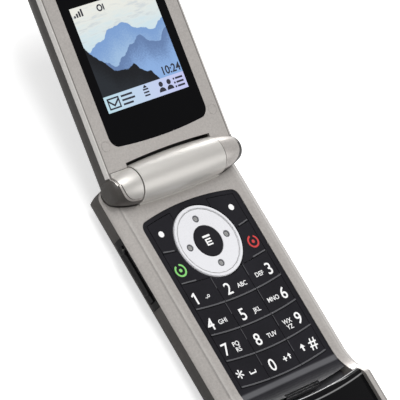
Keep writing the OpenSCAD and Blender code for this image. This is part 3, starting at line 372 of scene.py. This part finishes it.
OWN_FINISH = {
    "display_lens": WINDOW_BLACK,
    "front_frame": silver_paint("frame_paint", SILVER, FLAKE, lines="crease"),
    "keypad_bezel": keypad_moulding("bezel_plastic", (0.0085, 0.008, 0.0115), (0.10, 0.10, 0.108), True),
    "side_trim": worn_gloss("trim_gloss", (0.004, 0.004, 0.004), (0.14, 0.14, 0.13)),
    "volume_rocker": worn_gloss("rocker_gloss", (0.006, 0.006, 0.006), (0.22, 0.22, 0.20)),
    "chin_cover": chin_gloss("chin_gloss", (0.0030, 0.0030, 0.0036)),
    "lid_front_shell": silver_paint("lid_paint", SILVER, FLAKE, lines="lid"),
}
SCREEN_INK = printed("screen_ink", (0.006, 0.007, 0.022))
PICTURE = display_picture()


def finish_nodes():
    """Each CAD node takes the finish of its slot in the record."""
    for part in frame["record"]["subparts"]:
        mesh = frame["nodes"][part["node"]].data
        mesh.materials.clear()
        mesh.materials.append(OWN_FINISH.get(part["node"], FINISHES[part["material_slot"]]))


# ---------------------------------------------------------------- pieces

def piece(name, mesh, body, material):
    mesh.name = name
    mesh.materials.clear()
    mesh.materials.append(material)
    made = bpy.data.objects.new(name, mesh)
    bpy.context.scene.collection.objects.link(made)
    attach(made, body)
    return made


def smooth(mesh, angle=32):
    mesh.shade_smooth()
    mesh.set_sharp_from_angle(angle=radians(angle))


def lettering(body_text, height, at, place, depth=0.03, heavy=0.0):
    """A bmesh of raised letters centred at a point of the plane that place maps from millimetres."""
    curve = bpy.data.curves.new("lettering", "FONT")
    curve.body = body_text
    curve.size = height / 0.72
    curve.extrude = depth / 2
    curve.offset = heavy
    curve.resolution_u = 4
    curve.align_x = "CENTER"
    holder = bpy.data.objects.new("lettering", curve)
    bpy.context.scene.collection.objects.link(holder)
    graph = bpy.context.evaluated_depsgraph_get()
    mesh = bpy.data.meshes.new_from_object(holder.evaluated_get(graph))
    bpy.data.objects.remove(holder)
    bpy.data.curves.remove(curve)
    letters = bmesh.new()
    letters.from_mesh(mesh)
    bpy.data.meshes.remove(mesh)
    shift = Matrix.Translation((at[0], at[1] - height / 2, depth / 2))
    bmesh.ops.transform(letters, matrix=place @ shift, verts=letters.verts)
    return letters


def plate(outline, at, place, depth=0.03):
    """A bmesh of a thin flat piece with the given outline in millimetres."""
    flat = bmesh.new()
    corners = [flat.verts.new((x, y, 0)) for x, y in outline]
    face = flat.faces.new(corners)
    lifted = bmesh.ops.extrude_face_region(flat, geom=[face])["geom"]
    raised = [v for v in lifted if isinstance(v, bmesh.types.BMVert)]
    bmesh.ops.translate(flat, vec=(0, 0, depth), verts=raised)
    bmesh.ops.recalc_face_normals(flat, faces=flat.faces)
    bmesh.ops.transform(flat, matrix=place @ Matrix.Translation((*at, 0)), verts=flat.verts)
    return flat


def arc(radius, start, end, steps=24, centre=(0, 0)):
    turn = [radians(start + (end - start) * i / steps) for i in range(steps + 1)]
    return [(centre[0] + radius * cos(a), centre[1] + radius * sin(a)) for a in turn]


def disc(radius, at, place, depth=0.03):
    return plate(arc(radius, 0, 337.5, 15), at, place, depth)


def band(inner, outer, start, end, at, place, depth=0.03):
    """Part of a flat ring."""
    return plate(arc(outer, start, end) + arc(inner, end, start), at, place, depth)


def stroke(points, width, at, place, depth=0.03):
    """A line of even width through the points."""
    left, right = [], []
    for i, (x, y) in enumerate(points):
        before, after = points[max(i - 1, 0)], points[min(i + 1, len(points) - 1)]
        along = Vector((after[0] - before[0], after[1] - before[1])).normalized() * width / 2
        left.append((x - along.y, y + along.x))
        right.append((x + along.y, y - along.x))
    return plate(left + right[::-1], at, place, depth)


def bar(width, height, at, place, depth=0.03):
    w, h = width / 2, height / 2
    return plate([(-w, -h), (w, -h), (w, h), (-w, h)], at, place, depth)


def joined(forms):
    """One mesh from several bmeshes."""
    mesh = bpy.data.meshes.new("joined")
    whole = bmesh.new()
    for form in forms:
        form.to_mesh(mesh)
        whole.from_mesh(mesh)
        form.free()
    whole.to_mesh(mesh)
    whole.free()
    return mesh


KEY_LEGENDS = {
    "key_1": ("1", (-13.4, -12.6), ".,o", (-9.7, -12.9)),
    "key_2": ("2", (-2.5, -13.3), "ABC", (2.3, -13.6)),
    "key_3": ("3", (12.9, -12.5), "DEF", (9.1, -12.9)),
    "key_4": ("4", (-13.5, -20.0), "GHI", (-9.5, -20.4)),
    "key_5": ("5", (-2.6, -20.8), "JKL", (2.3, -21.1)),
    "key_6": ("6", (12.9, -19.8), "MNO", (8.9, -20.2)),
    "key_7": ("7", (-13.4, -27.3), "PQ\nRS", (-9.6, -27.0)),
    "key_8": ("8", (-2.6, -28.2), "TUV", (2.3, -28.5)),
    "key_9": ("9", (12.9, -27.3), "WX\nYZ", (9.0, -27.0)),
    "key_star": ("*", (-13.5, -35.3), None, (-9.4, -34.9)),
    "key_0": ("0", (-2.7, -35.6), None, (2.0, -35.6)),
    "key_hash": ("#", (12.7, -34.6), None, (9.0, -34.8)),
}
LEGEND_LIFT = Matrix.Translation((0, 0, 0.012))


ONE = [(-0.28, -1.6), (0.28, -1.6), (0.28, 1.6), (-0.12, 1.6), (-1.0, 0.95), (-0.78, 0.55), (-0.28, 0.9)]
ARROW = [(-0.28, -1), (0.28, -1), (0.28, 0), (0.9, 0), (0, 1), (-0.9, 0), (-0.28, 0)]


def key_legends():
    on_keys = KEYPAD @ LEGEND_LIFT
    for key, (digit, spot, letters, (x, y)) in KEY_LEGENDS.items():
        forms = [plate(ONE, spot, on_keys) if digit == "1" else
                 lettering(digit, 3.3 if digit != "*" else 3.9, spot, on_keys, heavy=0.035)]
        if letters:
            for row, line in enumerate(letters.split("\n")):
                forms.append(lettering(line, 1.25, (x, y - 1.6 * row), on_keys, heavy=0.02))
        elif key == "key_star":
            forms.append(stroke([(-0.95, 0), (-0.95, -0.7), (0.95, -0.7), (0.95, 0)], 0.38, (x, y), on_keys))
        elif key == "key_0":
            forms += [bar(1.4, 0.34, (x, y), on_keys), bar(0.34, 1.4, (x, y), on_keys, 0.031)]
            forms.append(plate([(a * 0.7, b * 0.8) for a, b in ARROW], (x + 1.7, y + 0.3), on_keys))
        else:
            forms.append(plate(ARROW, (x, y), on_keys))
        piece("legend_" + key, joined(forms), key, LEGEND_WHITE)
    for side, key in ((-1, "soft_key_left"), (1, "soft_key_right")):
        piece("legend_" + key, joined([disc(0.85, (side * 12.5, 6.0), on_keys)]), key, LEGEND_WHITE)
    menu = [bar(2.5, 0.55, (0, 1.35), on_keys), bar(1.6, 0.4, (0.2, 0.45), on_keys),
            bar(1.6, 0.4, (0.2, -0.3), on_keys), bar(1.6, 0.4, (0.2, -1.05), on_keys),
            bar(0.45, 1.9, (-0.75, -0.3), on_keys, 0.031)]
    piece("legend_select_key", joined(menu), "select_key", LEGEND_WHITE)
    for side, key, ink, turn in ((-1, "call_key", CALL_GREEN, 100), (1, "end_key", END_RED, 80)):
        at = (side * 13.0, -4.5)
        forms = [band(1.3, 1.8, turn + 20, turn + 340, at, on_keys), disc(0.5, at, on_keys)]
        piece("legend_" + key, joined(forms), key, ink)


def ridge_lines():
    """Raised lines at the top of the number block, and under the soft keys, each on the key it belongs to;
    their grey is a painted highlight.
    """
    for side, call, soft in ((-1, "call_key", "soft_key_left"), (1, "end_key", "soft_key_right")):
        row = [(side * 15.0, -7.75), (side * 12.5, -8.0), (side * 10.2, -8.25)]
        piece("ridge_" + call, joined([stroke(row, 0.34, (0, 0), KEYPAD, 0.10)]), call, RIDGE_HIGHLIGHT)
        under = [(side * 15.0, 1.45), (side * 13.2, 1.1), (side * 11.5, 0.85)]
        piece("ridge_" + soft, joined([stroke(under, 0.34, (0, 0), KEYPAD, 0.10)]), soft, RIDGE_HIGHLIGHT)


def ring_marks():
    """A dot with a dark rim at each direction, and the fine step inside the ring's raised edge."""
    low = KEYPAD @ Matrix.Translation((0, 0, -0.11))
    forms = []
    for turn in range(0, 360, 90):
        at = (6.5 * cos(radians(turn)), 6.5 * sin(radians(turn)))
        forms.append(band(0.55, 0.97, 0, 360, at, low, 0.02))
    piece("ring_dots", joined(forms), "nav_ring", RING_GREY)
    fine = [band(9.0, 9.18, 0, 360, (0, 0), KEYPAD, 0.02)]
    for turn in range(0, 360, 90):
        fine.append(disc(0.5, (6.5 * cos(radians(turn)), 6.5 * sin(radians(turn))), low, 0.015))
    piece("ring_fine_marks", joined(fine), "nav_ring", FINISHES["plated_steel"])


def screen_symbols():
    """Battery, signal bars, clock and plain signs in dark ink on the picture."""
    glass = LID @ Matrix.Translation((0, 0, 1.4 + 0.012))
    left, right, top, low = -14.0, 14.0, 46.7, 20.85
    signal = [bar(0.55, 0.6 + 0.45 * i, (left + 0.9 + 0.85 * i, top - 2.3 + 0.22 * i), glass)
              for i in range(4)]
    cell = [bar(3.0, 1.5, (right - 2.4, top - 1.7), glass), bar(0.4, 0.8, (right - 0.7, top - 1.7), glass)]
    bell = [band(0.55, 0.95, 0, 360, (-4.5, top - 1.8), glass), bar(0.4, 1.6, (-3.2, top - 1.8), glass)]
    clock = [lettering("10:24", 2.2, (right - 3.6, 24.7), glass, heavy=0.06)]
    envelope = [bar(4.0, 0.4, (-11.2, low - 1.3), glass), bar(4.0, 0.4, (-11.2, low + 1.3), glass),
                bar(0.4, 2.6, (-13.0, low), glass), bar(0.4, 2.6, (-9.4, low), glass),
                plate([(-1.8, 1.2), (0, -0.3), (1.8, 1.2), (1.8, 0.6), (0, -0.9), (-1.8, 0.6)],
                      (-11.2, low), glass)]
    pages = [bar(wide, 0.5, (-8.4 + wide / 2, low + 1.1 * row), glass)
             for row, wide in ((-1, 3.4), (0, 4.4), (1, 3.9))]
    middle = [bar(1.8, 0.4, (0.1, low + 0.8 * row), glass) for row in (-1, 0, 1)] \
        + [plate([(-0.7, 0), (0.7, 0), (0, 0.8)], (0.1, low + 1.2), glass)]
    people = [form for x in (5.4, 8.2) for form in (
        disc(0.7, (x, low + 0.75), glass),
        plate(arc(1.15, 0, 180, 12), (x, low - 1.25), glass))]
    book = [bar(0.5, 0.5, (10.1, low + 1.05 * row), glass) for row in (-1, 0, 1)] \
        + [bar(2.5, 0.5, (11.95, low + 1.05 * row), glass) for row in (-1, 0, 1)]
    piece("screen_symbols", joined(signal + cell + bell + clock + envelope + pages + middle + people + book),
          "lid", SCREEN_INK)
    picture = plate([(left, 18.7), (right, 18.7), (right, top), (left, top)], (0, 0),
                    LID @ Matrix.Translation((0, 0, 1.4 + 0.002)), 0.01)
    piece("screen_picture", joined([picture]), "lid", PICTURE)


# ---------------------------------------------------------------- setting

def set_stage():
    bpy.ops.mesh.primitive_plane_add(size=6, location=(0, 0, -0.0002))
    floor = bpy.context.object
    floor.name = "floor"
    f = Finish("floor_white")
    tone = f.noise(3, 2)
    seen = f.node("ShaderNodeLightPath", {}, {}, "Is Camera Ray")
    f_surface = f.finish(Base_Color=f.blend(tone, (0.84, 0.84, 0.84), (0.88, 0.88, 0.88)), Roughness=0.9,
                         Emission_Color=f.blend(seen, (0, 0, 0), (0.58, 0.58, 0.58)), Emission_Strength=1.0,
                         Specular_IOR_Level=0.0)
    floor.data.materials.append(f_surface)
    world = bpy.data.worlds.new("studio")
    bpy.context.scene.world = world
    world.use_nodes = True
    world.node_tree.nodes["Background"].inputs["Color"].default_value = (1, 1, 1, 1)
    world.node_tree.nodes["Background"].inputs["Strength"].default_value = 0.46
    area_light("key", (0.0, 0.46, 0.82), (0, 0, 0), (0.6, 0.6), 5.4)
    area_light("fill", (0.5, -0.5, 0.5), (0, 0, 0), (0.6, 0.6), 1.7)
    area_light("strip", (0.62, 0.72, 0.11), (0, 0, 0.01), (0.42, 0.20), 2.6)


finish_nodes()
key_legends()
ridge_lines()
ring_marks()
screen_symbols()
set_stage()
place_camera()
bpy.context.scene.view_settings.view_transform = "Standard"
